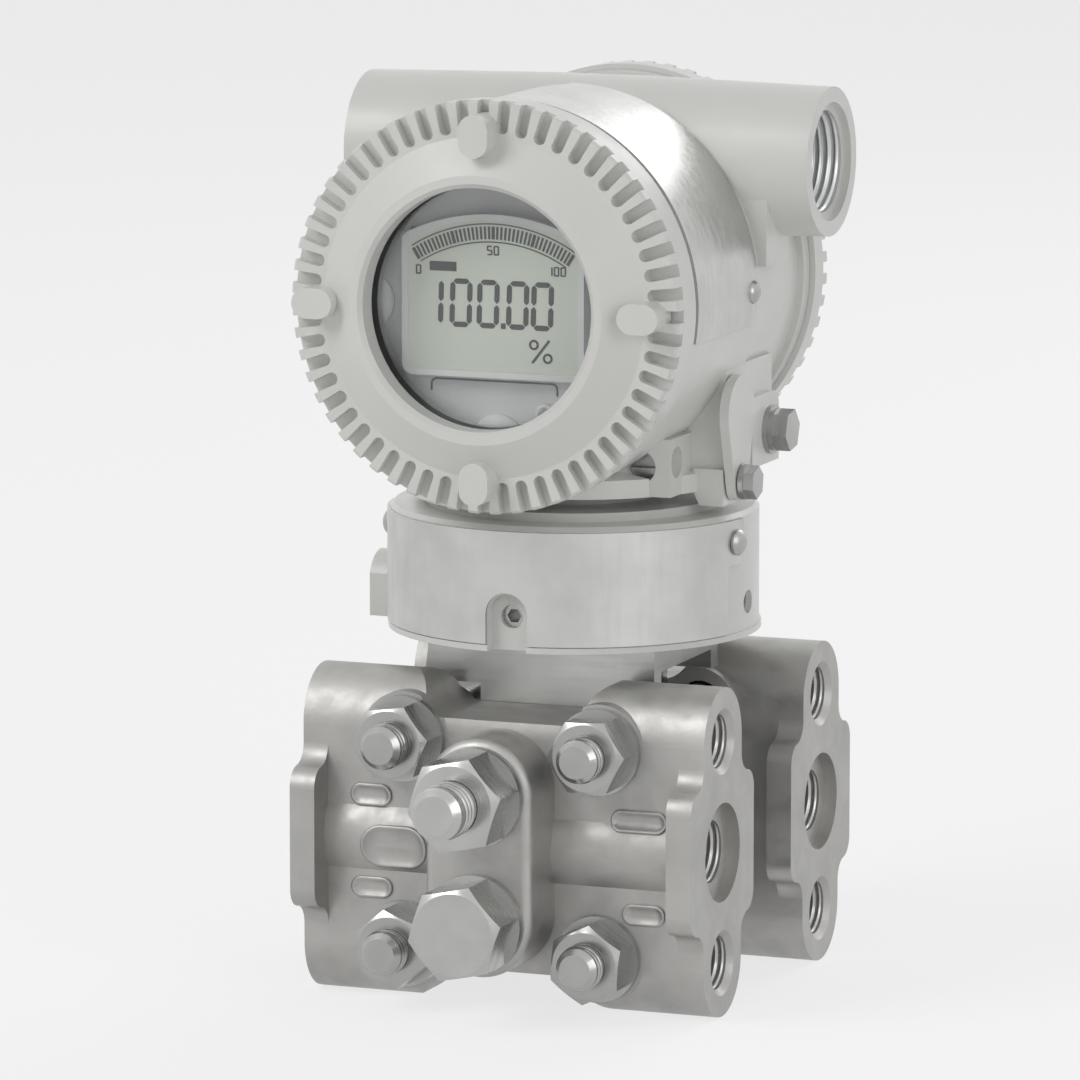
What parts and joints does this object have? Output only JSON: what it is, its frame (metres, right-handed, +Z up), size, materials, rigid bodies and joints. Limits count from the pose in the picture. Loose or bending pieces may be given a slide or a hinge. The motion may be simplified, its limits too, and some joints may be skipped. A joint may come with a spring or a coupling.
{
  "type": "differential pressure transmitter",
  "caption": "Pressure transmitter: two flanges bolted to a sensing capsule, a round sensor neck and a swivelling housing with a round display window and a conduit tube.",
  "frame": {"origin": "middle of the swivel axis at the height of the flanges' lowest line", "axes": "+X right along the flanges and the conduit tube, -Y front with the display, +Z up along the swivel axis"},
  "size_m": [0.092, 0.1406, 0.1692],
  "materials": {
    "flange": "bead-blasted cast stainless steel",
    "capsule": "turned and milled stainless steel",
    "gasket": "smooth fluoropolymer",
    "diaphragm": "thin rolled alloy",
    "bolt": "machined stainless steel",
    "plug": "machined stainless steel",
    "casting": "fine-textured pale grey polyurethane paint on cast aluminium",
    "plate": "thin brushed stainless sheet",
    "screw": "machined stainless steel",
    "module": "moulded, matt",
    "lcd": "grey-green liquid crystal cell",
    "board": "solder mask on laminate",
    "potting": "moulded module case",
    "terminal": "moulded, matt",
    "brass": "nickelled brass clamp screws",
    "seal": "smooth nitrile",
    "window": "polished toughened glass",
    "retainer": "turned, plain"
  },
  "bodies": {
    "stand": {"front_flange": "flange", "rear_flange": "flange", "capsule": "capsule", "process_gaskets": "gasket", "diaphragms": "diaphragm", "clamp_bolts": "bolt", "clamp_nuts": "bolt", "clamp_washers": "bolt", "port_blanking_plugs": "plug", "drain_plugs": "plug", "vent_plugs": "plug", "sensor_drum": "casting", "drum_plate": "plate", "drum_plate_screws": "screw", "lock_screws": "screw"},
    "housing": {"housing": "casting", "name_plate": "plate", "earth_screw": "screw", "earth_washer": "screw", "pivot_screw": "screw", "display_frame": "module", "display_cell": "lcd", "display_board": "board", "display_screws": "screw", "electronics_stack": "potting", "terminal_block": "terminal", "terminal_screws": "brass"},
    "front_cover_seal": {"front_cover_seal": "seal"},
    "front_cover": {"front_cover": "casting", "cover_glass": "window", "glass_retainer": "retainer"},
    "rear_cover_seal": {"rear_cover_seal": "seal"},
    "rear_cover": {"rear_cover": "casting"},
    "swing_plate": {"swing_plate": "casting"},
    "zero_screw": {"zero_screw": "screw"},
    "vent_needle_front": {"vent_needle_front": "plug"},
    "vent_screw_front": {"vent_screw_front": "plug"},
    "vent_needle_rear": {"vent_needle_rear": "plug"},
    "vent_screw_rear": {"vent_screw_rear": "plug"}
  },
  "joints": [
    {"name": "housing_swivel", "type": "hinge", "parent": "stand", "child": "housing", "pos_m": [0, 0, 0.0945], "axis": [0, 0, 1], "range_deg": [-164, 168]},
    {"name": "front_cover_travel", "type": "slide", "parent": "housing", "child": "front_cover_seal", "axis": [0, -1, 0], "range_m": [0, 0.0085]},
    {"name": "front_cover_turn", "type": "hinge", "parent": "front_cover_seal", "child": "front_cover", "pos_m": [0, -0.04, 0.1315], "axis": [0, -1, 0], "range_deg": [0, 1980]},
    {"name": "rear_cover_travel", "type": "slide", "parent": "housing", "child": "rear_cover_seal", "axis": [0, 1, 0], "range_m": [0, 0.0085]},
    {"name": "rear_cover_turn", "type": "hinge", "parent": "rear_cover_seal", "child": "rear_cover", "pos_m": [0, 0.0274, 0.1315], "axis": [0, 1, 0], "range_deg": [0, 1980]},
    {"name": "swing_plate_pivot", "type": "hinge", "parent": "housing", "child": "swing_plate", "pos_m": [0.0332, -0.0062, 0.0962], "axis": [1, 0, 0], "range_deg": [0, 100]},
    {"name": "zero_adjust_turn", "type": "hinge", "parent": "housing", "child": "zero_screw", "pos_m": [0.0206, -0.02, 0.1], "axis": [0, -1, 0], "continuous": true},
    {"name": "front_vent_travel", "type": "slide", "parent": "stand", "child": "vent_needle_front", "axis": [0, -1, 0], "range_m": [0, 0.002]},
    {"name": "front_vent_turn", "type": "hinge", "parent": "vent_needle_front", "child": "vent_screw_front", "pos_m": [0, -0.0615, 0.04245], "axis": [0, -1, 0], "range_deg": [0, 720]},
    {"name": "rear_vent_travel", "type": "slide", "parent": "stand", "child": "vent_needle_rear", "axis": [0, 1, 0], "range_m": [0, 0.002]},
    {"name": "rear_vent_turn", "type": "hinge", "parent": "vent_needle_rear", "child": "vent_screw_rear", "pos_m": [0, 0.0615, 0.04245], "axis": [0, 1, 0], "range_deg": [0, 720]}
  ],
  "couplings": [
    {"joint": "front_cover_travel", "follows": "front_cover_turn", "m_per_rad": 0.00023873},
    {"joint": "rear_cover_travel", "follows": "rear_cover_turn", "m_per_rad": 0.00023873},
    {"joint": "front_vent_turn", "follows": "front_vent_travel", "rad_per_m": 6283.2},
    {"joint": "rear_vent_turn", "follows": "rear_vent_travel", "rad_per_m": 6283.2}
  ]
}
